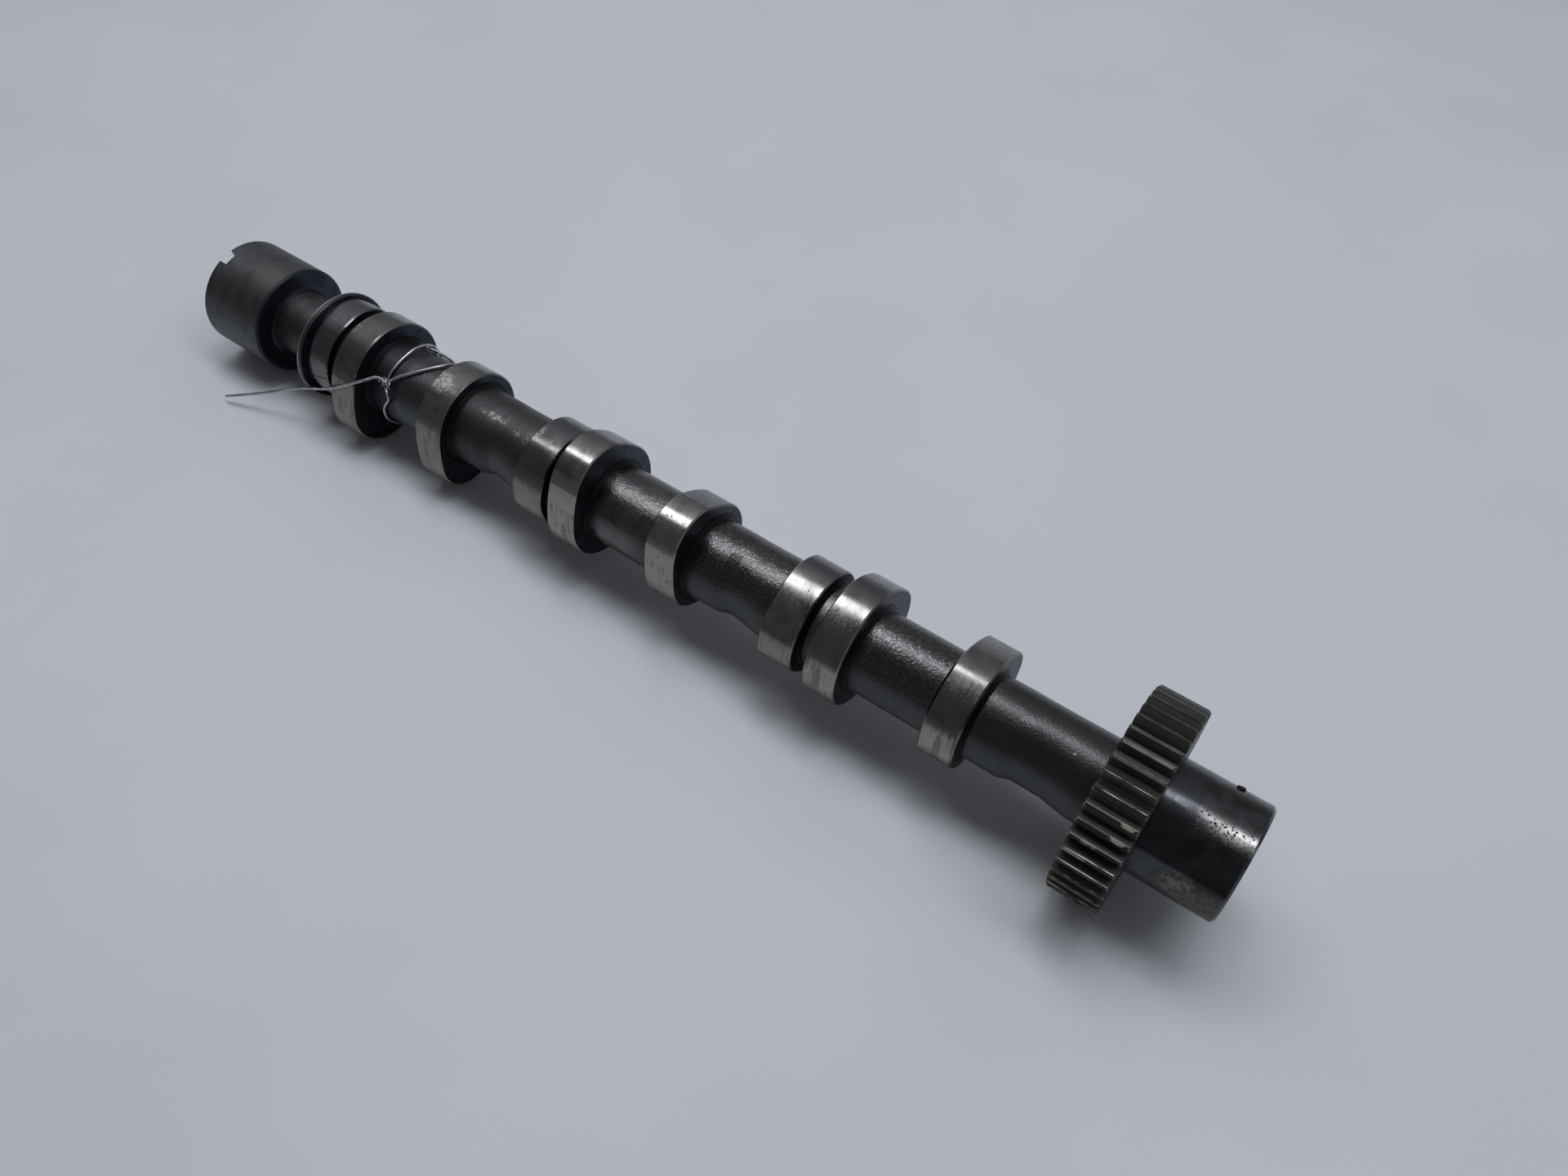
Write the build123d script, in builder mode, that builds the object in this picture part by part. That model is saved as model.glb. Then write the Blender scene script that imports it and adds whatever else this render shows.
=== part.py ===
# Camshaft of a small three-cylinder engine: one casting with its drive gear cut in the same piece,
# and a twist of tag wire wound round it.
#
# Lengths are in mm. X runs along the shaft's axis from the rear end face (X = 0) towards the gear,
# Z is up as the shaft lies at rest, and the origin is on the axis in the rear end face.
# Angles round the shaft are in degrees, measured from +Y towards +Z.
from build123d import *

import math
import os

# --- Ends and neck ---------------------------------------------------------------------------
rear_journal_diameter = 40.5
rear_journal_length = 29.7
front_journal_diameter = 36.7
front_journal_length = 27.0
journal_chamfer = 0.8
neck_diameter = 24.0
neck_fillet = 2.5
flange_diameter = 40.5
flange_start = 51.1
flange_thickness = 2.1
flange_chamfer = 0.4

# --- Drive slot and centre holes in the end faces -----------------------------------------------
slot_width = 5.9
slot_depth = 4.2
slot_angle = 102.6
centre_hole_diameter = 9.0
centre_hole_pilot_diameter = 3.0
centre_hole_depth = 10.0
centre_hole_cone_angle = 60.0

# --- Shaft between the lobes ------------------------------------------------------------------
shaft_diameter = 28.0
shoulder_chamfer = 1.2
cast_skin_diameter = 26.6
cast_skin_offset = 0.62
cast_skin_angle = 35.0
cast_skin_clear_of_lobe = 12.0
cast_skin_clear_of_next_face = 4.9
cast_skin_run_in = 4.0
cast_skin_run_out = 9.0

# --- Cam lobes: each cylinder has a low, a middle and an end lobe ---------------------------------
cylinder_count = 3
cylinder_pitch = 102.83
lobe_chamfer = 0.5

low_lobe_start = 51.5
low_lobe_width = 12.4
low_lobe_base_radius = 17.8
low_lobe_lift = 1.2
low_lobe_nose_radius = 14.1
low_lobe_flank_radius = 56.0
low_lobe_angle = 60.0

middle_lobe_start = 69.3
middle_lobe_width = 11.4
middle_lobe_base_radius = 20.3
middle_lobe_lift = 5.1
middle_lobe_nose_radius = 15.0
middle_lobe_flank_radius = 45.0
middle_lobe_angle = 225.4

end_lobe_start = 109.6
end_lobe_width = 11.6
end_lobe_base_radius = 18.7
end_lobe_lift = 5.7
end_lobe_nose_radius = 13.2
end_lobe_flank_radius = 54.0
end_lobe_angle = 235.7

# --- Drive gear -------------------------------------------------------------------------------
gear_clear_of_last_lobe = 39.44
gear_width = 15.9
gear_teeth = 42
gear_module = 1.5
gear_pressure_angle = 20.0
gear_clearance = 0.25
gear_backlash = 0.1
gear_chamfer = 0.7
gear_tooth_angle = 117.6

# --- Tag wire ---------------------------------------------------------------------------------
wire_diameter = 1.0
wire_gap = 0.3
wire_clear_of_lobe = 1.95
wire_bend_ratio = 0.45

# The wire's route as (distance past the middle lobe's end face, angle round the shaft, lift), from
# the tip of its long tail, with distance and lift in wire diameters. The tail's lift is measured
# from clear of the flange and the lobe, the winding's from where the wire lies on the shaft.
wire_tail = [
    (-60.8, 207.4, 16.9),
    (-46.3, 204.9, 9.1),
    (-31.0, 196.5, 0.9),
    (-9.7, 168.7, 0.3),
    (3.4, 146.5, 0.3),
]
wire_hook = [
    (8.2, 133.6, 4.2),
    (11.6, 136.0, 3.1),
    (12.1, 143.2, 0.3),
    (9.3, 142.8, 0.0),
]
wire_over = [
    (9.0, 124.0, 0.15),
    (9.5, 97.0, 0.4),
    (9.4, 70.0, 1.4),
    (9.2, 45.0, 1.8),
    (8.8, 15.0, 0.6),
]
wire_under = [(8.4, angle, 0.72) for angle in range(-20, -165, -35)]
wire_front = [
    (8.9, -182.0, 0.3),
    (12.4, -203.0, 0.4),
]
wire_return = [
    (12.8, 150.0, 1.9),
    (10.0, 139.0, 1.7),
    (12.9, 123.5, 0.5),
    (19.8, 98.0, 0.3),
    (23.7, 68.0, 0.5),
    (22.8, 35.0, 0.5),
    (17.5, 16.0, 0.3),
    (13.1, 44.0, 0.35),
    (8.0, 50.5, 0.1),
    (2.1, 39.4, 0.1),
]

# --- Sizes that follow from those above -----------------------------------------------------------
rear_journal_radius = rear_journal_diameter / 2
front_journal_radius = front_journal_diameter / 2
neck_radius = neck_diameter / 2
flange_radius = flange_diameter / 2
shaft_radius = shaft_diameter / 2
flange_end = flange_start + flange_thickness
last_lobe_end = end_lobe_start + end_lobe_width + (cylinder_count - 1) * cylinder_pitch
gear_start = last_lobe_end + gear_clear_of_last_lobe
gear_end = gear_start + gear_width
total_length = gear_end + front_journal_length
firing_step = -360 / cylinder_count
same_place = shaft_diameter / 28000


def lobe_outline(base_radius, lift, nose_radius, flank_radius):
    """Face of a cam lobe: base circle, two convex flanks and a nose that points along +Y.

    Each flank is an arc that touches the base circle and the nose circle from outside.
    """
    nose_distance = base_radius + lift - nose_radius
    to_base = flank_radius - base_radius
    to_nose = flank_radius - nose_radius
    centre_y = (nose_distance**2 + to_base**2 - to_nose**2) / (2 * nose_distance)
    flank_centre = Vector(centre_y, -math.sqrt(to_base**2 - centre_y**2))
    nose_centre = Vector(nose_distance, 0)

    base_end = flank_centre.normalized() * -base_radius
    nose_end = nose_centre + (nose_centre - flank_centre).normalized() * nose_radius
    middle = (base_end + nose_end) / 2 - flank_centre
    flank_middle = flank_centre + middle.normalized() * flank_radius

    with BuildSketch() as outline:
        with BuildLine():
            base_arc = ThreePointArc(base_end, (-base_radius, 0), (base_end.X, -base_end.Y))
            flank = ThreePointArc(base_end, flank_middle, nose_end)
            nose = ThreePointArc(nose_end, (base_radius + lift, 0), (nose_end.X, -nose_end.Y))
            ThreePointArc(nose @ 1, (flank_middle.X, -flank_middle.Y), base_arc @ 1)
        make_face()
    return outline.sketch


def cam_lobe(start, width, base_radius, lift, nose_radius, flank_radius, nose_angle):
    """One cam lobe, its rims chamfered, with its rear face at start and its nose at nose_angle."""
    outline = lobe_outline(base_radius, lift, nose_radius, flank_radius)
    with BuildPart() as lobe:
        with BuildSketch(Plane.YZ.offset(start)):
            add(outline, rotation=nose_angle)
        extrude(amount=width)
        chamfer(lobe.faces().filter_by(Axis.X).edges(), lobe_chamfer)
    return lobe.part


def low_lobe(cylinder):
    return cam_lobe(
        low_lobe_start + cylinder * cylinder_pitch,
        low_lobe_width,
        low_lobe_base_radius,
        low_lobe_lift,
        low_lobe_nose_radius,
        low_lobe_flank_radius,
        low_lobe_angle + cylinder * firing_step,
    )


def middle_lobe(cylinder):
    return cam_lobe(
        middle_lobe_start + cylinder * cylinder_pitch,
        middle_lobe_width,
        middle_lobe_base_radius,
        middle_lobe_lift,
        middle_lobe_nose_radius,
        middle_lobe_flank_radius,
        middle_lobe_angle + cylinder * firing_step,
    )


def end_lobe(cylinder):
    return cam_lobe(
        end_lobe_start + cylinder * cylinder_pitch,
        end_lobe_width,
        end_lobe_base_radius,
        end_lobe_lift,
        end_lobe_nose_radius,
        end_lobe_flank_radius,
        end_lobe_angle + cylinder * firing_step,
    )


def skin_hollow(cylinder):
    """What is missing from the turned shaft where the casting's own skin lies below its surface.

    The skin is round but stands off the turned axis, and runs in and out of the turned ends.
    """
    start = end_lobe_start + end_lobe_width + cylinder * cylinder_pitch + cast_skin_clear_of_lobe
    if cylinder < cylinder_count - 1:
        next_face = low_lobe_start + (cylinder + 1) * cylinder_pitch
    else:
        next_face = gear_start
    end = next_face - cast_skin_clear_of_next_face
    shift = Vector(cast_skin_offset, 0).rotate(Axis.Z, cast_skin_angle)
    sections = [
        (start, shaft_radius, Vector(0, 0)),
        (start + cast_skin_run_in, cast_skin_diameter / 2, shift),
        (end - cast_skin_run_out, cast_skin_diameter / 2, shift),
        (end, shaft_radius, Vector(0, 0)),
    ]
    with BuildPart() as skin:
        for x, radius, centre in sections:
            with BuildSketch(Plane.YZ.offset(x)):
                with Locations(centre):
                    Circle(radius)
        loft(ruled=True)
    with BuildPart() as hollow:
        with BuildSketch(Plane.YZ.offset(start)):
            Circle(shaft_diameter)
        extrude(amount=end - start)
        add(skin.part, mode=Mode.SUBTRACT)
    return hollow.part


def tooth_half_angle(radius):
    """Angle, in radians, from a tooth's centre line to its involute flank at a radius."""
    pitch_radius = gear_module * gear_teeth / 2
    pressure = math.radians(gear_pressure_angle)
    base_radius = pitch_radius * math.cos(pressure)
    thickness = gear_module * math.pi / 2 - gear_backlash
    roll = math.acos(min(1, base_radius / radius))
    at_pitch = math.tan(pressure) - pressure
    return thickness / (2 * pitch_radius) + at_pitch - (math.tan(roll) - roll)


def flank_point(radius, side):
    angle = tooth_half_angle(radius) * side
    return Vector(radius * math.cos(angle), radius * math.sin(angle))


def spur_gear():
    """The drive gear: involute teeth round a disc, with their tips chamfered at both ends."""
    pitch_radius = gear_module * gear_teeth / 2
    tip_radius = pitch_radius + gear_module
    root_radius = pitch_radius - gear_module * (1 + gear_clearance)
    flank_radii = (root_radius, pitch_radius, tip_radius)
    with BuildSketch() as tooth:
        with BuildLine():
            left = ThreePointArc(*[flank_point(radius, 1) for radius in flank_radii])
            right = ThreePointArc(*[flank_point(radius, -1) for radius in flank_radii])
            ThreePointArc(left @ 1, (tip_radius, 0), right @ 1)
            Line(right @ 0, left @ 0)
        make_face()
    with BuildPart() as blank:
        with BuildSketch(Plane.YZ.offset(gear_start)):
            Circle(tip_radius)
        extrude(amount=gear_width)
        chamfer(blank.edges().filter_by(GeomType.CIRCLE), gear_chamfer)
    with BuildPart() as gear:
        with BuildSketch(Plane.YZ.offset(gear_start)):
            Circle(root_radius)
            with PolarLocations(0, gear_teeth, start_angle=gear_tooth_angle):
                add(tooth.sketch)
        extrude(amount=gear_width)
        add(blank.part, mode=Mode.INTERSECT)
    return gear.part


def turned_profile():
    """Half section of the turned shaft, journals and flange, above the axis in the XY plane."""
    profile = [
        (0, 0),
        (0, rear_journal_radius),
        (rear_journal_length, rear_journal_radius),
        (rear_journal_length, neck_radius),
        (flange_start, neck_radius),
        (flange_start, flange_radius),
        (flange_end, flange_radius),
        (flange_end, shaft_radius),
        (gear_end, shaft_radius),
        (gear_end, front_journal_radius),
        (total_length, front_journal_radius),
        (total_length, 0),
    ]
    journal_corners = [profile[1], profile[2], profile[10]]
    neck_corners = [profile[3], profile[4]]
    flange_corners = [profile[5], profile[6]]
    with BuildSketch() as section:
        with BuildLine():
            Polyline(*profile, close=True)
        make_face()
        fillet(corners_at(section, neck_corners), neck_fillet)
        chamfer(corners_at(section, journal_corners), journal_chamfer)
        chamfer(corners_at(section, flange_corners), flange_chamfer)
    return section.sketch


def corners_at(section, points):
    """The section's vertices at the given (x, y) points."""
    return section.vertices().filter_by(
        lambda vertex: any((vertex.center() - Vector(*point)).length < same_place for point in points)
    )


def shoulder_edges(part):
    """The circles where a lobe's face or the gear's face meets the shaft."""
    rear_faces = []
    front_faces = []
    for cylinder in range(cylinder_count):
        shift = cylinder * cylinder_pitch
        rear_faces += [low_lobe_start + shift, middle_lobe_start + shift, end_lobe_start + shift]
        front_faces += [
            low_lobe_start + low_lobe_width + shift,
            middle_lobe_start + middle_lobe_width + shift,
            end_lobe_start + end_lobe_width + shift,
        ]
    faces = rear_faces + front_faces + [gear_start]
    circles = part.edges().filter_by(GeomType.CIRCLE)
    on_shaft = circles.filter_by(lambda edge: abs(edge.radius - shaft_radius) < same_place)
    return on_shaft.filter_by(
        lambda edge: any(abs(edge.arc_center.X - face) < same_place for face in faces)
    )


# --- Camshaft ---------------------------------------------------------------------------------
section = turned_profile()
cylinders = range(cylinder_count)
lobes = [make(cylinder) for make in (low_lobe, middle_lobe, end_lobe) for cylinder in cylinders]
hollows = [skin_hollow(cylinder) for cylinder in cylinders]
gear = spur_gear()

with BuildPart() as camshaft:
    add(section)
    revolve(axis=Axis.X)
    add(lobes)
    add(gear)
    chamfer(shoulder_edges(camshaft), shoulder_chamfer)
    add(hollows, mode=Mode.SUBTRACT)
    with BuildSketch(Plane.YZ):
        Rectangle(2 * rear_journal_diameter, slot_width, rotation=slot_angle)
    extrude(amount=slot_depth, mode=Mode.SUBTRACT)
    with Locations(
        Plane(origin=(0, 0, 0), z_dir=(-1, 0, 0)),
        Plane(origin=(total_length, 0, 0), z_dir=(1, 0, 0)),
    ):
        CounterSinkHole(
            centre_hole_pilot_diameter / 2,
            centre_hole_diameter / 2,
            centre_hole_depth,
            centre_hole_cone_angle,
        )
camshaft.part.label = "camshaft"


# --- Tag wire ---------------------------------------------------------------------------------
def wire_points():
    """Corner points of the wire's route, in order from the tip of the tail."""
    lobe_face = middle_lobe_start + middle_lobe_width
    clear_of_lobe = max(flange_radius, middle_lobe_base_radius) + wire_clear_of_lobe
    on_shaft = shaft_radius + wire_gap + wire_diameter / 2
    route = [(past, angle, clear_of_lobe, lift) for past, angle, lift in wire_tail]
    for past, angle, lift in wire_hook + wire_over + wire_under + wire_front + wire_return:
        route.append((past, angle, on_shaft, lift))
    points = []
    for past, angle, lies_at, lift in route:
        x = lobe_face + past * wire_diameter
        radius = lies_at + lift * wire_diameter
        turn = math.radians(angle)
        points.append(Vector(x, radius * math.cos(turn), radius * math.sin(turn)))
    return points


def bend_radii(points):
    """Largest arc at each corner that leaves a little of both of its runs straight."""
    radii = []
    for before, corner, after in zip(points, points[1:], points[2:]):
        run_in = corner - before
        run_out = after - corner
        half_turn = math.radians(run_in.get_angle(run_out)) / 2
        shorter_run = min(run_in.length, run_out.length)
        radii.append(wire_bend_ratio * shorter_run / math.tan(half_turn))
    return radii


corners = wire_points()
with BuildPart() as tag_wire:
    with BuildLine() as route:
        FilletPolyline(*corners, radius=bend_radii(corners))
    with BuildSketch(Plane(origin=route.line @ 0, z_dir=route.line % 0)):
        Circle(wire_diameter / 2)
    sweep(path=route.line)
tag_wire.part.label = "tag_wire"

os.makedirs("parts", exist_ok=True)
export_step(camshaft.part, "parts/camshaft.step")
export_step(tag_wire.part, "parts/tag_wire.step")
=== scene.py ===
# Camshaft of a small three-cylinder engine, lying on a pale table, with a twist of tag wire on it.
# +X runs from the slotted rear end to the gear, +Z is up, and the front of the shaft faces -Y.
import math
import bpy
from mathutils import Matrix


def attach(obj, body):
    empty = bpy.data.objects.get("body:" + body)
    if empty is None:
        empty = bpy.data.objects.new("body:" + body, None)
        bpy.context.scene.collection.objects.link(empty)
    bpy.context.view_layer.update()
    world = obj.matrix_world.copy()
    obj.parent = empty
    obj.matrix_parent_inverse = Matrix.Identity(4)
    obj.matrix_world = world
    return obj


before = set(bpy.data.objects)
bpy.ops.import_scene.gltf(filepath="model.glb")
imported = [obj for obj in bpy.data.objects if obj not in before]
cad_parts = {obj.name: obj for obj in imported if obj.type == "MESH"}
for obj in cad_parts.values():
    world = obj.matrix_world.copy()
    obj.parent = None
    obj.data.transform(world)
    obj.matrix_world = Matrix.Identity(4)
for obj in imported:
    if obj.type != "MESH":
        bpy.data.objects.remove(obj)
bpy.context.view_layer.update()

from types import SimpleNamespace

import bmesh
import bpy
from mathutils import Euler, Matrix, Vector, noise

MM = 0.001

# --- Places on the shaft, in mm -----------------------------------------------------------------
# Along the shaft from the slotted end face. A pair is a start and an end.
REAR_CHAMFER = 0.8
REAR_JOURNAL = (-1, 30.5)
NECK = (29, 51.5)
NECK_CORNERS = (29.5, 51.3)
FLANGE_START = 51.1
FLANGE_END = 53.2
FLANGE_AND_LOBES = (50, 330)
MIDDLE_LOBES = (150, 290)
LOBES_BY_GEAR = (255, 330)
GRAINY_CAST = (184, 314)
FLECKED_CAST = (184, 330)
# Where painted shade darkens the lower side of the cast shaft
PAINTED_SHADE_CAST = (204, 368)
GEAR_START = 366.3
GEAR_END = 382.2
FRONT_JOURNAL = (GEAR_END - 0.2, 420)
FRONT_JOURNAL_OUTER = (391.6, 420)

# Out from the shaft's axis
NECK_CORNER_RADII = (12.08, 16)
SHOULDER_RADII = (13, 15.9)
RIM_RADII = (15.9, 27.5)
TOOTH_RADII = (28, 40)
GEAR_TIP_RADIUS = 33.0

GEAR_TEETH = 42
# The middle of one tooth, in degrees above the front
GEAR_TOOTH_TURN = 62.4

# --- Helpers for materials ----------------------------------------------------------------------


# --- Small helpers ---------------------------------------------------------------------------
def linear(hex_colour):
    """A colour written as sRGB hex, turned to the linear RGBA that shaders take."""
    channels = [int(hex_colour[i:i + 2], 16) / 255 for i in (1, 3, 5)]
    return [c / 12.92 if c <= 0.04045 else ((c + 0.055) / 1.055) ** 2.4 for c in channels] + [1]


def add_node(tree, kind, inputs=None, **settings):
    """Adds a node. An input takes a value, a node's output, or a node for its first output."""
    node = tree.nodes.new(kind)
    for name, value in settings.items():
        setattr(node, name, value)
    for socket, value in (inputs or {}).items():
        if isinstance(value, bpy.types.Node):
            value = value.outputs[0]
        if isinstance(value, bpy.types.NodeSocket):
            tree.links.new(value, node.inputs[socket])
        else:
            node.inputs[socket].default_value = value
    return node


def new_material(name):
    """A node material with nothing in its tree yet, and the tree."""
    material = bpy.data.materials.new(name)
    material.use_nodes = True
    tree = material.node_tree
    tree.nodes.clear()
    return material, tree


def between(tree, value, low, high, soft):
    """1 where value lies from low to high, falling to 0 over soft on each side."""
    rise = add_node(tree, "ShaderNodeMapRange", {0: value, 1: low - soft / 2, 2: low + soft / 2})
    fall = add_node(tree, "ShaderNodeMapRange",
                    {0: value, 1: high - soft / 2, 2: high + soft / 2, 3: 1.0, 4: 0.0})
    return add_node(tree, "ShaderNodeMath", {0: rise, 1: fall}, operation="MULTIPLY")


def blotches(tree, mm, size, low, high, detail=3.0):
    """Soft patches of a size in mm; low and high are the noise levels that become 0 and 1."""
    cloud = add_node(tree, "ShaderNodeTexNoise",
                     {"Vector": mm, "Scale": 1 / size, "Detail": detail})
    return add_node(tree, "ShaderNodeMapRange", {0: cloud, 1: low, 2: high})


def spot(tree, at, centre, size, ragged=0.35):
    """1 in a ragged spot round a point; centre and half sizes are in mm along each axis."""
    offset = add_node(tree, "ShaderNodeVectorMath", {0: at.mm, 1: centre}, operation="SUBTRACT")
    scaled = add_node(tree, "ShaderNodeVectorMath", {0: offset, 1: size}, operation="DIVIDE")
    reach = add_node(tree, "ShaderNodeVectorMath", {0: scaled}, operation="LENGTH").outputs["Value"]
    edge = add_node(tree, "ShaderNodeMath", {0: at.fray, 1: 2 * ragged, 2: reach},
                    operation="MULTIPLY_ADD")
    return add_node(tree, "ShaderNodeMapRange", {0: edge, 1: 1.05 + ragged, 2: 0.75 + ragged})


def pits(tree, mm, spacing, width, share):
    """1 in small ragged pits, with a pit in a share of the places; spacing and width are in mm."""
    wobble = add_node(tree, "ShaderNodeTexNoise", {"Vector": mm, "Scale": 3 / width, "Detail": 1.0})
    place = add_node(tree, "ShaderNodeMix", {0: 0.12 * width, 4: mm, 5: wobble.outputs["Color"]},
                     data_type="VECTOR", clamp_factor=False)
    cell = add_node(tree, "ShaderNodeTexVoronoi",
                    {"Vector": place.outputs[1], "Scale": 1 / spacing})
    chance = add_node(tree, "ShaderNodeSeparateXYZ", {0: cell.outputs["Color"]}).outputs[0]
    chosen = add_node(tree, "ShaderNodeMath", {0: chance, 1: 1 - share}, operation="GREATER_THAN")
    reach = 0.5 * width / spacing
    hole = add_node(tree, "ShaderNodeMapRange",
                    {0: cell.outputs["Distance"], 1: reach, 2: 0.6 * reach})
    return add_node(tree, "ShaderNodeMath", {0: chosen, 1: hole}, operation="MULTIPLY")


def lay(tree, finish, change, *masks):
    """The finish with the changed values where every mask is 1.

    Colours may be hex, and heights are in mm. A mask is a node, or a noise with the two levels of
    it that become 0 and 1.
    """
    mask = None
    for part in masks:
        if isinstance(part, tuple):
            cloud, low, high = part
            part = add_node(tree, "ShaderNodeMapRange", {0: cloud, 1: low, 2: high})
        if mask is not None:
            part = add_node(tree, "ShaderNodeMath", {0: mask, 1: part}, operation="MULTIPLY")
        mask = part
    mixed = dict(finish)
    for name, value in change.items():
        if name == "Base Color":
            value = linear(value) if isinstance(value, str) else value
            mix = add_node(tree, "ShaderNodeMix", {0: mask, 6: finish[name], 7: value},
                           data_type="RGBA")
            mixed[name] = mix.outputs[2]
        elif value is not finish[name]:
            mix = add_node(tree, "ShaderNodeMix", {0: mask, 2: finish[name], 3: value})
            mixed[name] = mix.outputs[0]
    return mixed


# --- Camshaft finishes --------------------------------------------------------------------------
# How clean each lobe's ground rim is, from the slotted end: start and end in mm, then its tone
LOBE_TONES = [
    (53.3, 66, "#707174"), (68, 81, "#7e7f7e"), (108, 121.5, "#8d8c89"),
    (154, 167, "#747574"), (170, 184, "#8f8f8b"), (211, 224.5, "#93938f"),
    (257, 270, "#93938f"), (272, 287, "#838380"), (314, 328, "#7e7d7a"),
]
# The low stretch of each rim made paler, partly worn by the followers and partly a painted
# reflection of the pale table below: start and end in mm, its top in degrees above the front, and
# its tone
WEAR_AND_REFLECTION_STRETCHES = [
    (68, 81, 26, "#87847b"), (108, 121.5, 41, "#87847c"), (154, 167, 38, "#837f76"),
    (170, 184, 55, "#9a978e"), (211, 224.5, 46, "#94918a"), (257, 270, 28, "#88857d"),
    (272, 287, 27, "#9a978d"), (314, 328, 28, "#98958c"),
]
# Brown streaks down the pale low stretches: a point of each, in mm
DARK_STREAKS = [
    (114.5, -17.0, -3.0), (179.4, -20.5, -2.0), (280.4, -19.8, 1.0), (321.6, -18.0, 1.0),
]
# Cast stretches between lobes that old oil has made dull: start and end in mm, tone, roughness
DULL_STRETCHES = [
    (80, 95.5, "#434548", 0.46), (95.5, 110, "#535557", 0.40), (121, 140, "#4c4c4d", 0.48),
    (140, 154, "#525252", 0.40), (224, 240, "#4c4c4d", 0.26), (240, 257, "#51504f", 0.25),
    (287, 314, "#4f4f50", 0.24), (327, 367, "#4e4e4e", 0.27),
]
# Scrapes that show bright metal: centre and half sizes in mm
SCRAPES = [
    ((70.6, -3.0, 20.0), (1.4, 4.5, 1.5)), ((155.8, -2.0, 17.7), (1.3, 3.5, 1.5)),
    ((134.5, -3.2, 13.4), (6.5, 1.5, 1.5)), ((146.0, -4.6, 13.0), (2.0, 1.0, 1.0)),
    ((356.5, -4.3, 13.0), (0.7, 0.7, 0.7)), ((183.8, -1.1, 14.9), (0.8, 0.8, 0.8)),
    ((224.4, -3.0, 14.6), (0.8, 0.8, 0.8)), ((327.3, -13.1, -6.7), (0.7, 0.7, 0.7)),
]
# Teeth where the mating gear has wiped the oil off: centre and half sizes in mm
WIPED_TEETH = [
    ((379.1, -22.9, 23.8), (2.2, 1.6, 1.6)), ((378.4, -25.9, 20.1), (2.6, 1.6, 1.6)),
    ((377.6, -18.1, 26.4), (1.6, 1.2, 1.2)), ((371.8, -28.0, 16.0), (4.0, 1.4, 1.4)),
    ((370.0, -31.2, 10.9), (3.5, 1.2, 1.2)),
]


def shaft_places(tree):
    """Where a point of the shaft is, and the noises that several of its finishes share.

    x and radius are in mm. above_front is in degrees round the axis: 0 faces the front and 90 is
    the top. end_on is 1 where the surface faces along the shaft. Real grinding lines and the
    strokes of a cloth are too fine to show, so they are drawn 0.35 mm and 1.1 mm wide.
    """
    coords = add_node(tree, "ShaderNodeTexCoord")
    mm = add_node(tree, "ShaderNodeVectorMath", {0: coords.outputs["Object"], "Scale": 1 / MM},
                  operation="SCALE")
    axes = add_node(tree, "ShaderNodeSeparateXYZ", {0: mm})
    across = add_node(tree, "ShaderNodeVectorMath", {0: mm, 1: (0, 1, 1)}, operation="MULTIPLY")
    radius = add_node(tree, "ShaderNodeVectorMath", {0: across}, operation="LENGTH")
    forward = add_node(tree, "ShaderNodeMath", {0: axes.outputs[1], 1: -1.0}, operation="MULTIPLY")
    turn = add_node(tree, "ShaderNodeMath", {0: axes.outputs[2], 1: forward}, operation="ARCTAN2")
    facing = add_node(tree, "ShaderNodeSeparateXYZ", {0: coords.outputs["Normal"]})
    ground = add_node(tree, "ShaderNodeVectorMath", {0: mm, 1: (1 / 0.35, 1 / 9, 1 / 9)},
                      operation="MULTIPLY")
    stroked = add_node(tree, "ShaderNodeVectorMath", {0: mm, 1: (1 / 1.1, 1 / 10, 1 / 10)},
                       operation="MULTIPLY")
    return SimpleNamespace(
        mm=mm,
        x=axes.outputs[0],
        radius=radius.outputs["Value"],
        above_front=add_node(tree, "ShaderNodeMath", {0: turn, 1: 180 / math.pi},
                             operation="MULTIPLY"),
        end_on=add_node(tree, "ShaderNodeMath", {0: facing.outputs[0]}, operation="ABSOLUTE"),
        grinding=add_node(tree, "ShaderNodeTexNoise",
                          {"Vector": ground, "Scale": 1.0, "Detail": 2.0}),
        strokes=add_node(tree, "ShaderNodeTexNoise",
                         {"Vector": stroked, "Scale": 1.0, "Detail": 3.0}),
        oil=add_node(tree, "ShaderNodeTexNoise", {"Vector": mm, "Scale": 1 / 5, "Detail": 4.0}),
        fray=add_node(tree, "ShaderNodeTexNoise", {"Vector": mm, "Scale": 1 / 0.9, "Detail": 3.0}),
    )


def cast_skin(tree, at):
    """As-cast iron that sand left grainy, dulled by a film of old oil."""
    # Moulding sand is about 0.3 mm, drawn as lumps of 0.9 mm with 0.5 mm grain so that it shows
    coarse = add_node(tree, "ShaderNodeTexNoise",
                      {"Vector": at.mm, "Scale": 1 / 0.9, "Detail": 2.0})
    fine = add_node(tree, "ShaderNodeTexNoise", {"Vector": at.mm, "Scale": 1 / 0.5, "Detail": 2.0})
    grainy = between(tree, at.x, *GRAINY_CAST, 6)
    depth = add_node(tree, "ShaderNodeMapRange", {0: grainy, 3: 0.09, 4: 0.115})
    lumps = add_node(tree, "ShaderNodeMath", {0: coarse, 1: depth}, operation="MULTIPLY")
    finish = {
        "Base Color": linear("#5b5c5e"),
        "Roughness": add_node(tree, "ShaderNodeMapRange",
                              {0: at.oil, 1: 0.35, 2: 0.65, 3: 0.22, 4: 0.34}),
        "Metallic": 1.0,
        "height": add_node(tree, "ShaderNodeMath", {0: fine, 1: 0.045, 2: lumps},
                           operation="MULTIPLY_ADD"),
    }
    return lay(tree, finish, {"Base Color": "#686663"}, (at.oil, 0.42, 0.60))


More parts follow.
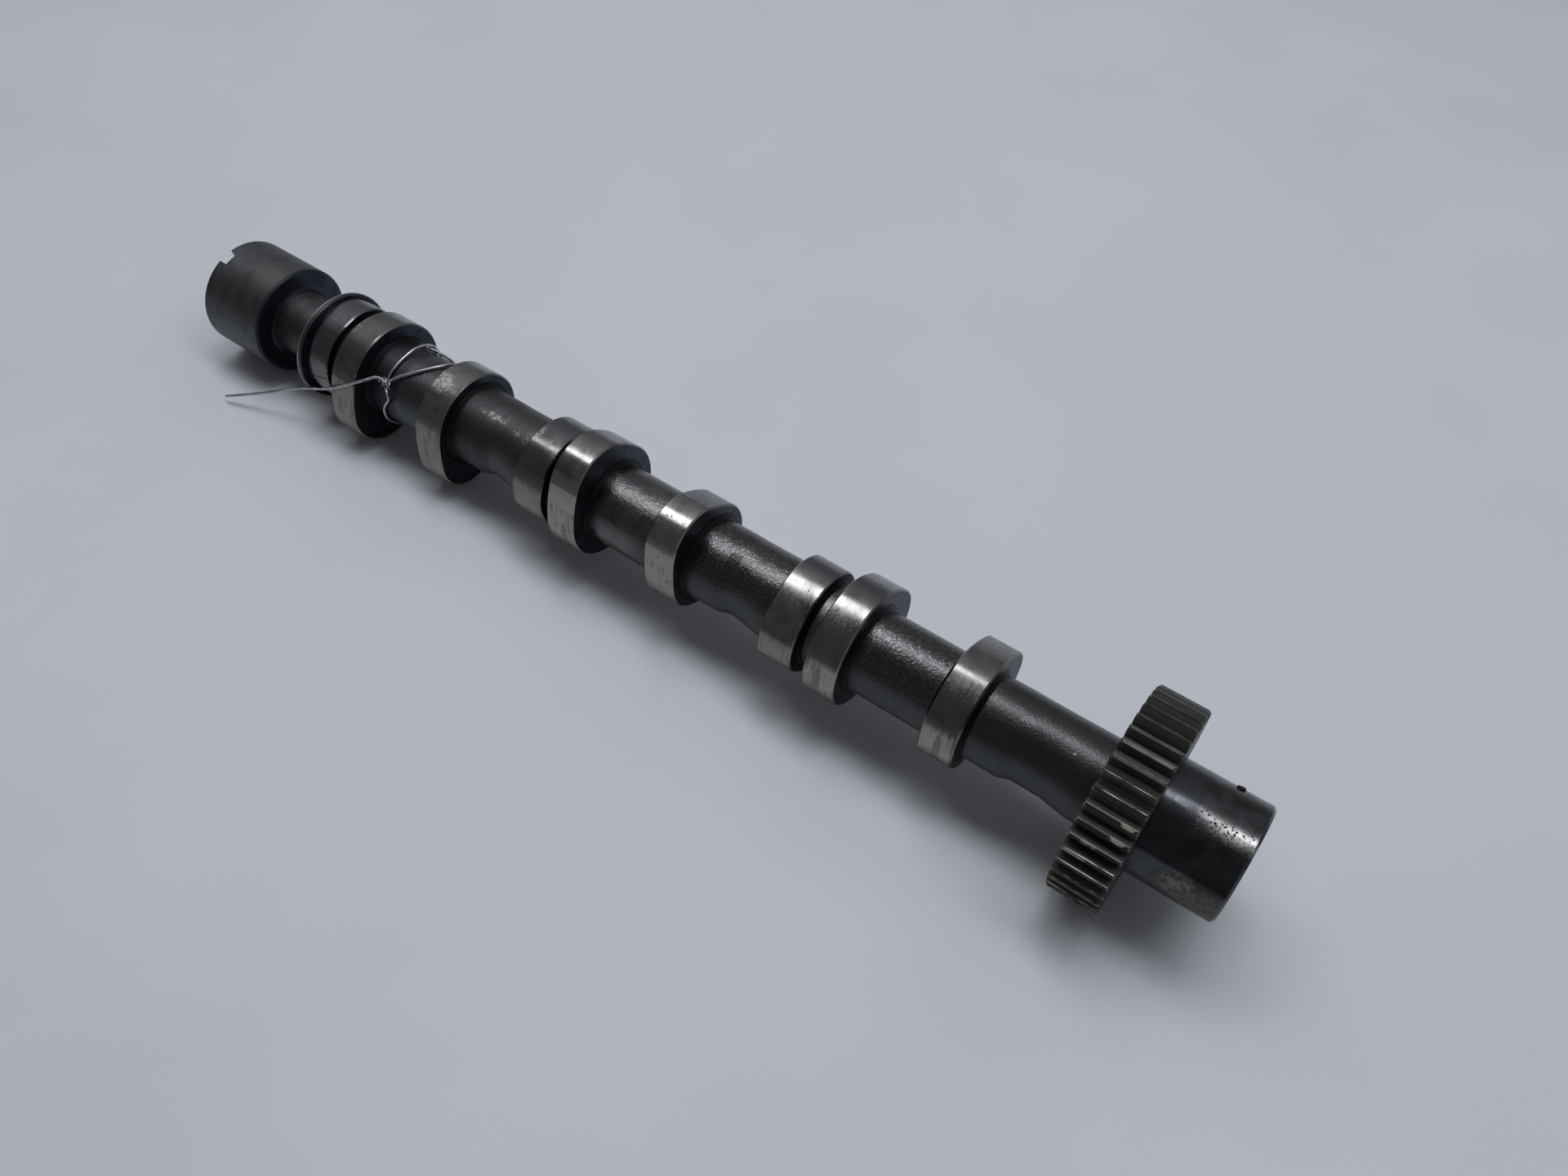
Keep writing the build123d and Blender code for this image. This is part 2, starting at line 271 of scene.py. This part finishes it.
def ground_iron(tree, at, clean, stained):
    """Chilled iron ground round the shaft, with fine lines from the wheel and patches of oil."""
    oiled = add_node(tree, "ShaderNodeMapRange", {0: at.oil, 1: 0.42, 2: 0.66})
    lined = add_node(tree, "ShaderNodeMapRange",
                     {0: at.grinding, 1: 0.3, 2: 0.7, 3: 0.12, 4: 0.22})
    finish = {
        "Base Color": linear(clean),
        "Roughness": add_node(tree, "ShaderNodeMath", {0: oiled, 1: 0.09, 2: lined},
                              operation="MULTIPLY_ADD"),
        "Metallic": 1.0,
        "height": add_node(tree, "ShaderNodeMath", {0: at.grinding, 1: 0.006},
                           operation="MULTIPLY"),
    }
    return lay(tree, finish, {"Base Color": stained}, oiled)


def oily_neck(tree, at, finish):
    """The neck by the rear journal: turned, then stained evenly by oil, with painted shade in its
    corners.
    """
    neck = {**finish, "Base Color": linear("#515354"), "Roughness": 0.50}
    neck = lay(tree, neck, {"Base Color": "#5f5e5b"}, (at.oil, 0.42, 0.60))
    finish = lay(tree, finish, neck, between(tree, at.x, *NECK, 1))
    # Painted shade: the corners of the neck are darkened
    corner_painted_shade = [between(tree, at.radius, *NECK_CORNER_RADII, 0.1),
              between(tree, at.x, *NECK_CORNERS, 0.2)]
    return lay(tree, finish, {"Base Color": "#2c2f34", "Roughness": 0.55}, *corner_painted_shade)


def lobe_rims(tree, at, finish):
    """The ground rims of the lobes and the flange, paler low down from follower wear and a painted
    reflection of the table.
    """
    rim = ground_iron(tree, at, "#8f8f8b", "#7a7a77")
    for start, end, tone in LOBE_TONES:
        rim = lay(tree, rim, {"Base Color": tone}, between(tree, at.x, start, end, 0.5))
    rim = lay(tree, rim, {"Base Color": "#6a6a68"}, blotches(tree, at.mm, 6, 0.45, 0.75, 4.0))
    # Painted reflection: the back of the middle lobes' rims is darkened, standing in for the darker
    # table far behind that they mirror
    painted_dark_back = [between(tree, at.above_front, 98, 150, 22), between(tree, at.x, *MIDDLE_LOBES, 2)]
    rim = lay(tree, rim, {"Base Color": "#6e6e70"}, *painted_dark_back)

    # Frosted by fine pitting along the lower edge of the brightest band, on the lobes near the gear
    frosted = {"Base Color": "#6f6c69", "Roughness": 0.40}
    below_band = [between(tree, at.above_front, 57, 71, 10), between(tree, at.x, *LOBES_BY_GEAR, 1)]
    rim = lay(tree, rim, frosted, (at.fray, 0.50, 0.60), *below_band)

    # Painted reflection: the low stretches are paler, standing in for the pale table they mirror,
    # on top of the followers' wear
    for start, end, top, tone in WEAR_AND_REFLECTION_STRETCHES:
        place = [between(tree, at.x, start, end, 0.5), between(tree, at.above_front, -80, top, 2.5)]
        rim = lay(tree, rim, {"Base Color": tone, "Roughness": 0.24}, *place)
    smeared = [(at.strokes, 0.40, 0.66), between(tree, at.above_front, -80, 27, 4)]
    rim = lay(tree, rim, {"Base Color": "#6c6860"}, *smeared, (at.oil, 0.36, 0.56))
    for place in DARK_STREAKS:
        streak = spot(tree, at, place, (1.3, 6.0, 7.0), 0.8)
        rim = lay(tree, rim, {"Base Color": "#736d66"}, streak)

    speckle = {"Base Color": "#4d4a48", "Roughness": 0.5, "height": -0.05}
    rim = lay(tree, rim, speckle, pits(tree, at.mm, 1.3, 0.6, 0.35), (at.oil, 0.48, 0.56))
    on_rim = between(tree, at.radius, *RIM_RADII, 0.2)
    finish = lay(tree, finish, rim, on_rim, between(tree, at.x, *FLANGE_AND_LOBES, 1))

    # The third lobe keeps a clean patch, crossed by the strokes of a cloth
    patch = {"Base Color": linear("#a29e97"), "Roughness": 0.40}
    patch = lay(tree, patch, {"Base Color": "#6a655f"}, (at.fray, 0.46, 0.60))
    patch_band = [between(tree, at.above_front, 64, 90, 5),
                  spot(tree, at, (108.8, -4.0, 18.3), (8.0, 9.0, 9.0), 0.9)]
    finish = lay(tree, finish, patch, on_rim, *patch_band)

    # The flange's own rim: dull, with a painted highlight as a thin bright edge towards the neck
    on_flange = between(tree, at.x, FLANGE_START - 0.5, FLANGE_END + 0.1, 0.1)
    finish = lay(tree, finish, {"Base Color": "#4c4e50", "Roughness": 0.4}, on_rim, on_flange)
    # Painted highlight: a pale strip on the flange's edge nearest the neck
    flange_painted_highlight = between(tree, at.x, FLANGE_START - 0.5, FLANGE_START + 0.9, 0.1)
    return lay(tree, finish, {"Base Color": "#b0b0ad", "Roughness": 0.28}, on_rim, flange_painted_highlight)


def rear_journal(tree, at, finish):
    """Ground, then dulled to an even dark grey with a brown bloom of varnished oil."""
    on_journal = [between(tree, at.x, *REAR_JOURNAL, 0.5), between(tree, at.radius, 15, 25, 0.5)]
    rear = ground_iron(tree, at, "#5c5e5f", "#505152")
    rear["Roughness"] = 0.47
    finish = lay(tree, finish, rear, *on_journal)
    bloom = spot(tree, at, (24.5, -4.0, 19.8), (8.0, 6.5, 4.5), 0.6)
    finish = lay(tree, finish, {"Base Color": "#63605c"}, bloom, *on_journal)
    chamfer = between(tree, at.end_on, 0.3, 2.0, 0.2)
    return lay(tree, finish, {"Base Color": "#363a3f"}, chamfer, *on_journal)


def front_journal(tree, at, finish):
    """Glossy with oil beside the gear; further out ground, with a painted highlight along the top,
    pitted and scuffed.
    """
    on_journal = [between(tree, at.x, *FRONT_JOURNAL, 0.3), between(tree, at.radius, 10, 25, 0.5)]
    finish = lay(tree, finish, ground_iron(tree, at, "#4a4c4f", "#3f4144"), *on_journal)

    outer = between(tree, at.x, *FRONT_JOURNAL_OUTER, 0.6)
    mottled = {"Base Color": linear("#505255")}
    mottled = lay(tree, mottled, {"Base Color": "#423f3d"}, (at.oil, 0.42, 0.60))
    finish = lay(tree, finish, mottled, outer, *on_journal)

    # Painted highlight: a pale band where the lamp's highlight falls on the outer journal
    painted_highlight_band = [between(tree, at.above_front, 67, 77, 9), between(tree, at.x, 396, 420, 9)]
    finish = lay(tree, finish, {"Base Color": "#b4b3b0"}, *painted_highlight_band, (at.fray, 0.34, 0.46),
                 *on_journal)
    pit = {"Base Color": "#0c0b0a", "Roughness": 0.7, "height": -0.03}
    pitted = between(tree, at.above_front, 60, 84, 8)
    for spacing, width, share in ((1.3, 0.75, 0.35), (0.9, 0.55, 0.5)):
        holes = pits(tree, at.mm, spacing, width, share)
        finish = lay(tree, finish, pit, pitted, outer, holes, *on_journal)

    # A scuff low on the front, and the smear of dried oil that runs on from it
    veins = blotches(tree, at.mm, 2.0, 0.47, 0.58)
    scuffed = {"Base Color": linear("#7b786e"), "Roughness": 0.50, "Metallic": 0.45}
    scuffed = lay(tree, scuffed, {"Base Color": "#45423d"}, veins)
    scuff = spot(tree, at, (396.2, -18.0, 2.2), (5.0, 6.0, 4.6), 0.9)
    finish = lay(tree, finish, scuffed, scuff, *on_journal)
    smeared = {"Base Color": linear("#5d5b55"), "Roughness": 0.45, "Metallic": 0.7}
    smeared = lay(tree, smeared, {"Base Color": "#494743"}, veins)
    smear = spot(tree, at, (403.0, -18.2, -1.0), (8.0, 6.0, 5.0), 0.9)
    return lay(tree, finish, smeared, smear, *on_journal)


def gear_teeth(tree, at, finish):
    """Cut teeth under brown oil and grit, with painted light and shade, and a painted highlight on
    the rounded upper edge of each tip.
    """
    teeth = ground_iron(tree, at, "#4c4e51", "#413f3c")
    teeth.update({"Roughness": 0.40, "Metallic": 0.95})
    stained = {"Base Color": "#38362f", "Metallic": 0.7}
    teeth = lay(tree, teeth, stained, between(tree, at.above_front, -30, 62, 30))
    on_tip = between(tree, at.radius, GEAR_TIP_RADIUS - 0.35, GEAR_TIP_RADIUS + 1, 0.1)
    for centre, size in WIPED_TEETH:
        wiped = {"Base Color": "#8f8d84", "Roughness": 0.55, "Metallic": 0.1}
        teeth = lay(tree, teeth, wiped, on_tip, spot(tree, at, centre, size, 0.5))

    # How far a point lies above the middle of its own tooth, in mm round the tips
    first_tooth = 0.5 - GEAR_TOOTH_TURN * GEAR_TEETH / 360
    count = add_node(tree, "ShaderNodeMath",
                     {0: at.above_front, 1: GEAR_TEETH / 360, 2: first_tooth},
                     operation="MULTIPLY_ADD")
    phase = add_node(tree, "ShaderNodeMath", {0: count, 1: 1.0}, operation="FLOORED_MODULO")
    from_middle = add_node(tree, "ShaderNodeMath", {0: phase, 1: 0.5}, operation="SUBTRACT")
    pitch = 2 * math.pi * GEAR_TIP_RADIUS / GEAR_TEETH
    upwards = add_node(tree, "ShaderNodeMath", {0: from_middle, 1: pitch}, operation="MULTIPLY")

    # Old oil caked between the teeth, paler on the teeth at the front as painted light, and darker
    # on the flanks that face up as painted shade
    caked_oil_painted_light = {"Base Color": linear("#3a3936"), "Roughness": 0.60, "Metallic": 0.1}
    caked_oil_painted_light = lay(tree, caked_oil_painted_light, {"Base Color": "#6c695f"}, between(tree, at.above_front, -34, 56, 30))
    caked_oil_painted_light = lay(tree, caked_oil_painted_light, {"Base Color": "#33312c"}, between(tree, upwards, 0.1, 2.4, 0.3))
    teeth = lay(tree, teeth, caked_oil_painted_light, between(tree, at.radius, 20, GEAR_TIP_RADIUS - 0.3, 0.3))

    # Painted highlight: a pale line along the upper edge of each tip, where the lamps above catch
    # it
    tip_painted_highlight = {"Base Color": "#c2beb2", "Roughness": 0.32, "Metallic": 1.0}
    upper_edge = between(tree, upwards, 0.42, 0.8, 0.04)
    teeth = lay(tree, teeth, tip_painted_highlight, upper_edge, on_tip, (at.oil, 0.62, 0.40))
    drop = add_node(tree, "ShaderNodeMapRange", {0: upwards, 1: 0.40, 2: 0.58, 3: 0.0, 4: -0.08})
    teeth["height"] = add_node(tree, "ShaderNodeMath", {0: drop, 1: on_tip}, operation="MULTIPLY")
    on_teeth = [between(tree, at.x, GEAR_START, GEAR_END, 0.1),
                between(tree, at.radius, *TOOTH_RADII, 0.5)]
    return lay(tree, finish, teeth, *on_teeth)


def camshaft_material():
    """Chilled cast iron: dark and grainy as cast, satin grey where ground, filmed with old oil,
    with painted light and shade in places.
    """
    material, tree = new_material("chilled_cast_iron")
    at = shaft_places(tree)
    finish = cast_skin(tree, at)
    for start, end, tone, roughness in DULL_STRETCHES:
        dull = {"Base Color": tone, "Roughness": roughness}
        finish = lay(tree, finish, dull, between(tree, at.x, start, end, 3))
    flecks = [(at.fray, 0.50, 0.62), between(tree, at.x, *FLECKED_CAST, 4)]
    finish = lay(tree, finish, {"Base Color": "#6a6967"}, *flecks)
    # Painted shade: the lower front of the cast stretches near the gear is darkened
    painted_shade_low = {"Base Color": "#4b4d4f", "Roughness": 0.42, "Metallic": 0.9}
    low_down = between(tree, at.above_front, -100, 32, 46)
    finish = lay(tree, finish, painted_shade_low, between(tree, at.x, *PAINTED_SHADE_CAST, 8), low_down)

    finish = oily_neck(tree, at, finish)
    finish = lobe_rims(tree, at, finish)
    finish = rear_journal(tree, at, finish)
    finish = front_journal(tree, at, finish)
    finish = gear_teeth(tree, at, finish)

    # Bright metal where something scraped the shaft
    for centre, size in SCRAPES:
        scrape = {"Base Color": "#8b8784", "Roughness": 0.40}
        finish = lay(tree, finish, scrape, spot(tree, at, centre, size), (at.fray, 0.42, 0.66))

    # Side faces: turned, black with old oil; the chamfers where they meet the shaft get painted
    # shade
    turning = add_node(tree, "ShaderNodeTexNoise",
                       {"W": at.radius, "Scale": 1 / 0.4, "Detail": 2.0}, noise_dimensions="1D")
    side = lay(tree, {"Base Color": linear("#3d424c")}, {"Base Color": "#34373d"},
               (at.oil, 0.44, 0.58))
    side["Roughness"] = add_node(tree, "ShaderNodeMapRange",
                                 {0: turning, 1: 0.35, 2: 0.65, 3: 0.36, 4: 0.52})
    finish = lay(tree, finish, side, between(tree, at.end_on, 0.85, 2.0, 0.1))
    # Painted shade: the chamfers in the corners at the shaft are darkened
    shoulder_painted_shade = [between(tree, at.end_on, 0.4, 2.0, 0.2),
                between(tree, at.radius, *SHOULDER_RADII, 0.2),
                between(tree, at.x, FLANGE_AND_LOBES[0], 370, 1)]
    finish = lay(tree, finish, {"Base Color": "#1f2123", "Roughness": 0.5}, *shoulder_painted_shade)

    bump = add_node(tree, "ShaderNodeBump", {"Height": finish.pop("height"), "Distance": MM})
    shader = add_node(tree, "ShaderNodeBsdfPrincipled", {**finish, "Normal": bump})
    add_node(tree, "ShaderNodeOutputMaterial", {0: shader})
    return material


def wire_material():
    """Galvanised steel wire: dull zinc, with paler and darker patches a few mm long."""
    material, tree = new_material("galvanised_wire")
    place = add_node(tree, "ShaderNodeTexCoord").outputs["Object"]
    mm = add_node(tree, "ShaderNodeVectorMath", {0: place, "Scale": 1 / MM}, operation="SCALE")
    zinc = lay(tree, {"Base Color": linear("#c3c5c7")}, {"Base Color": "#979a9d"},
               blotches(tree, mm, 3, 0.4, 0.65))
    shader = add_node(tree, "ShaderNodeBsdfPrincipled",
                      {**zinc, "Roughness": 0.35, "Metallic": 1.0})
    add_node(tree, "ShaderNodeOutputMaterial", {0: shader})
    return material


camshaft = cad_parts["camshaft"]
camshaft.material_slots[0].material = camshaft_material()
tag_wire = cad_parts["tag_wire"]
tag_wire.material_slots[0].material = wire_material()


# --- Twist in the wire and the crumb of dirt, in mm ---------------------------------------------
TWIST_START = (90.6, -12.9, 13.0)
TWIST_END = (91.9, -11.9, 9.6)
TWIST_RADIUS = 1.25
TWIST_SWELL = 0.12
TWIST_TURNS = 2.3
TWIST_STEPS = 44
TWIST_WIRE_RADIUS = 0.30
CRUMB_PLACE = (398.6, 12.6, 13.6)
CRUMB_WIDTH = 1.6


def wire_twist():
    """The short end of the wire, wound round the two strands where they cross."""
    start, end = Vector(TWIST_START), Vector(TWIST_END)
    along = (end - start).normalized()
    side = along.orthogonal().normalized()
    other = along.cross(side)
    curve = bpy.data.curves.new("wire_twist", "CURVE")
    curve.dimensions = "3D"
    curve.bevel_depth = TWIST_WIRE_RADIUS * MM
    curve.bevel_resolution = 3
    curve.use_fill_caps = True
    spline = curve.splines.new("POLY")
    spline.points.add(TWIST_STEPS)
    for step in range(TWIST_STEPS + 1):
        share = step / TWIST_STEPS
        angle = 2 * math.pi * TWIST_TURNS * share
        radius = TWIST_RADIUS * (1 + TWIST_SWELL * math.sin(3 * angle / TWIST_TURNS))
        point = start.lerp(end, share) + radius * (math.cos(angle) * side + math.sin(angle) * other)
        spline.points[step].co = (*(point * MM), 1)
    curve.materials.append(tag_wire.material_slots[0].material)
    twist = bpy.data.objects.new("wire_twist", curve)
    bpy.context.scene.collection.objects.link(twist)
    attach(twist, "root")


def grit_material():
    """Grit caked with old oil: nearly black, rough, with no shine."""
    material, tree = new_material("oily_grit")
    place = add_node(tree, "ShaderNodeTexCoord").outputs["Object"]
    mm = add_node(tree, "ShaderNodeVectorMath", {0: place, "Scale": 1 / MM}, operation="SCALE")
    grit = lay(tree, {"Base Color": linear("#15120f")}, {"Base Color": "#2b2620"},
               blotches(tree, mm, 0.6, 0.4, 0.6))
    shader = add_node(tree, "ShaderNodeBsdfPrincipled", {**grit, "Roughness": 0.85})
    add_node(tree, "ShaderNodeOutputMaterial", {0: shader})
    return material


def dirt_crumb():
    """A small ragged lump stuck to the front journal, drawn out along the shaft."""
    place = Vector(CRUMB_PLACE)
    shape = bmesh.new()
    bmesh.ops.create_icosphere(shape, subdivisions=3, radius=0.5 * CRUMB_WIDTH * MM)
    for vert in shape.verts:
        lump = noise.noise(vert.co * (2.2 / (CRUMB_WIDTH * MM)) + place)
        vert.co *= 1 + 0.45 * lump
        vert.co.x *= 1.35
        vert.co += place * MM
    mesh = bpy.data.meshes.new("dirt_crumb")
    shape.to_mesh(mesh)
    shape.free()
    mesh.materials.append(grit_material())
    mesh.shade_smooth()
    crumb = bpy.data.objects.new("dirt_crumb", mesh)
    bpy.context.scene.collection.objects.link(crumb)
    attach(crumb, "root")


wire_twist()
dirt_crumb()


# --- Table --------------------------------------------------------------------------------------
# The shaft lies on its rear journal and the gear's rim, so the table falls away towards the gear
REAR_JOURNAL_RADIUS = 20.25
FLOOR_SLOPE = 0.03482
FLOOR_HALF_SIZE = 3.0
FLOOR_MIDDLE = 0.2


def table():
    """White laminate: smooth and a little sheeny, with faint clouding a hand's breadth wide."""
    material, tree = new_material("white_laminate")
    place = add_node(tree, "ShaderNodeTexCoord").outputs["Object"]
    mm = add_node(tree, "ShaderNodeVectorMath", {0: place, "Scale": 1 / MM}, operation="SCALE")
    top = lay(tree, {"Base Color": linear("#c1c5c8")}, {"Base Color": "#bdc1c4"},
              blotches(tree, mm, 90, 0.3, 0.7))
    shader = add_node(tree, "ShaderNodeBsdfPrincipled",
                      {**top, "Roughness": 0.5, "Specular IOR Level": 0.25})
    add_node(tree, "ShaderNodeOutputMaterial", {0: shader})
    mesh = bpy.data.meshes.new("table_top")
    corners = [(-1, -1), (1, -1), (1, 1), (-1, 1)]
    verts = []
    for u, v in corners:
        x = u * FLOOR_HALF_SIZE + FLOOR_MIDDLE
        height = -REAR_JOURNAL_RADIUS * MM - FLOOR_SLOPE * (x - REAR_CHAMFER * MM)
        verts.append((x, v * FLOOR_HALF_SIZE, height))
    mesh.from_pydata(verts, [], [(0, 1, 2, 3)])
    mesh.materials.append(material)
    slab = bpy.data.objects.new("table_top", mesh)
    bpy.context.scene.collection.objects.link(slab)


table()


# --- Light --------------------------------------------------------------------------------------
def softbox(name, centre, aim, width, height, radiance, colour, along):
    """A rectangular lamp at centre, facing aim, whose width lies nearest to the direction along."""
    lamp = bpy.data.lights.new(name, "AREA")
    lamp.shape = "RECTANGLE"
    lamp.size = width
    lamp.size_y = height
    lamp.energy = radiance * math.pi * width * height
    lamp.color = linear(colour)[:3]
    holder = bpy.data.objects.new(name, lamp)
    back = (Vector(centre) - Vector(aim)).normalized()
    along = Vector(along)
    across = (along - along.dot(back) * back).normalized()
    turn = Matrix((across, back.cross(across), back)).transposed()
    holder.matrix_world = Matrix.Translation(centre) @ turn.to_4x4()
    bpy.context.scene.collection.objects.link(holder)


softbox("key", (-0.31, 0.25, 1.40), (0.2, 0, 0), 0.98, 0.37, 5.3, "#f8f9ff", (0.62, 0.785, 0))
softbox("fill", (0.74, 0.26, 1.25), (0.40, 0, 0), 1.0, 0.32, 4.6, "#f6f8ff", (1, 0, 0))

# A lamp that the metal doesn't mirror, for the soft dark shadow right under the shaft
softbox("wash", (0.22, 0.22, 1.40), (0.22, 0, 0), 0.45, 0.45, 7.0, "#f8f9ff", (1, 0, 0))
bpy.data.objects["wash"].visible_glossy = False

LOW_BOARD_Y = -0.20


def low_board():
    """A low grey board along the front, seen only in the metal's gloss, where it ends the table."""
    material, tree = new_material("grey_card")
    shader = add_node(tree, "ShaderNodeBsdfDiffuse", {"Color": linear("#5c5c5e")})
    add_node(tree, "ShaderNodeOutputMaterial", {0: shader})
    mesh = bpy.data.meshes.new("low_board")
    corners = [(-0.8, -0.070), (1.4, -0.070), (1.4, 0.002), (-0.8, 0.002)]
    mesh.from_pydata([(x, LOW_BOARD_Y, z) for x, z in corners], [], [(0, 1, 2, 3)])
    mesh.materials.append(material)
    board = bpy.data.objects.new("low_board", mesh)
    board.visible_camera = False
    board.visible_diffuse = False
    board.visible_shadow = False
    bpy.context.scene.collection.objects.link(board)


low_board()

# The studio round the table is light behind the shaft and overhead, and dark in front. Each stop is
# an angle in degrees, from level behind the shaft over the top to level in front, and its glow.
STUDIO_GLOW = [
    (0, 0.23), (20, 0.25), (40, 0.34), (60, 0.45), (80, 0.44), (95, 0.26), (106, 0.12),
    (135, 0.10), (180, 0.10),
]
# Past the two ends of the shaft it is one plain tone
STUDIO_ENDS = (0.23, 0.235, 0.25, 1)


def studio():
    """A world that goes from light to dark across the shaft, with no sharp edge to mirror."""
    world = bpy.data.worlds.new("studio")
    bpy.context.scene.world = world
    world.use_nodes = True
    tree = world.node_tree
    tree.nodes.clear()
    direction = add_node(tree, "ShaderNodeTexCoord").outputs["Generated"]
    parts = add_node(tree, "ShaderNodeSeparateXYZ", {0: direction})
    rise = add_node(tree, "ShaderNodeMath", {0: parts.outputs[2]}, operation="ABSOLUTE")
    turn = add_node(tree, "ShaderNodeMath", {0: rise, 1: parts.outputs[1]}, operation="ARCTAN2")
    share = add_node(tree, "ShaderNodeMath", {0: turn, 1: math.pi}, operation="DIVIDE")
    ramp = add_node(tree, "ShaderNodeValToRGB", {0: share})
    while len(ramp.color_ramp.elements) < len(STUDIO_GLOW):
        ramp.color_ramp.elements.new(0.5)
    for stop, (angle, glow) in zip(ramp.color_ramp.elements, STUDIO_GLOW):
        stop.position = angle / 180
        stop.color = (0.97 * glow, 0.99 * glow, 1.07 * glow, 1)
    lengthways = add_node(tree, "ShaderNodeMath", {0: parts.outputs[0]}, operation="ABSOLUTE")
    at_ends = add_node(tree, "ShaderNodeMapRange", {0: lengthways, 1: 0.78, 2: 0.94},
                       interpolation_type="SMOOTHSTEP")
    plain = add_node(tree, "ShaderNodeMix", {0: at_ends, 6: ramp, 7: STUDIO_ENDS}, data_type="RGBA")
    shade = add_node(tree, "ShaderNodeBackground", {"Color": plain.outputs[2], "Strength": 1.0})
    add_node(tree, "ShaderNodeOutputWorld", {0: shade})


studio()

# --- Camera -------------------------------------------------------------------------------------
camera_data = bpy.data.cameras.new("camera")
camera_data.sensor_width = 36.0
camera_data.lens = 28.751
camera = bpy.data.objects.new("camera", camera_data)
camera.location = (0.389774, -0.203154, 0.312829)
camera.rotation_euler = Euler([math.radians(angle) for angle in (38.499, -1.394, 35.525)])
bpy.context.scene.collection.objects.link(camera)
bpy.context.scene.camera = camera

bpy.context.scene.view_settings.view_transform = "Standard"
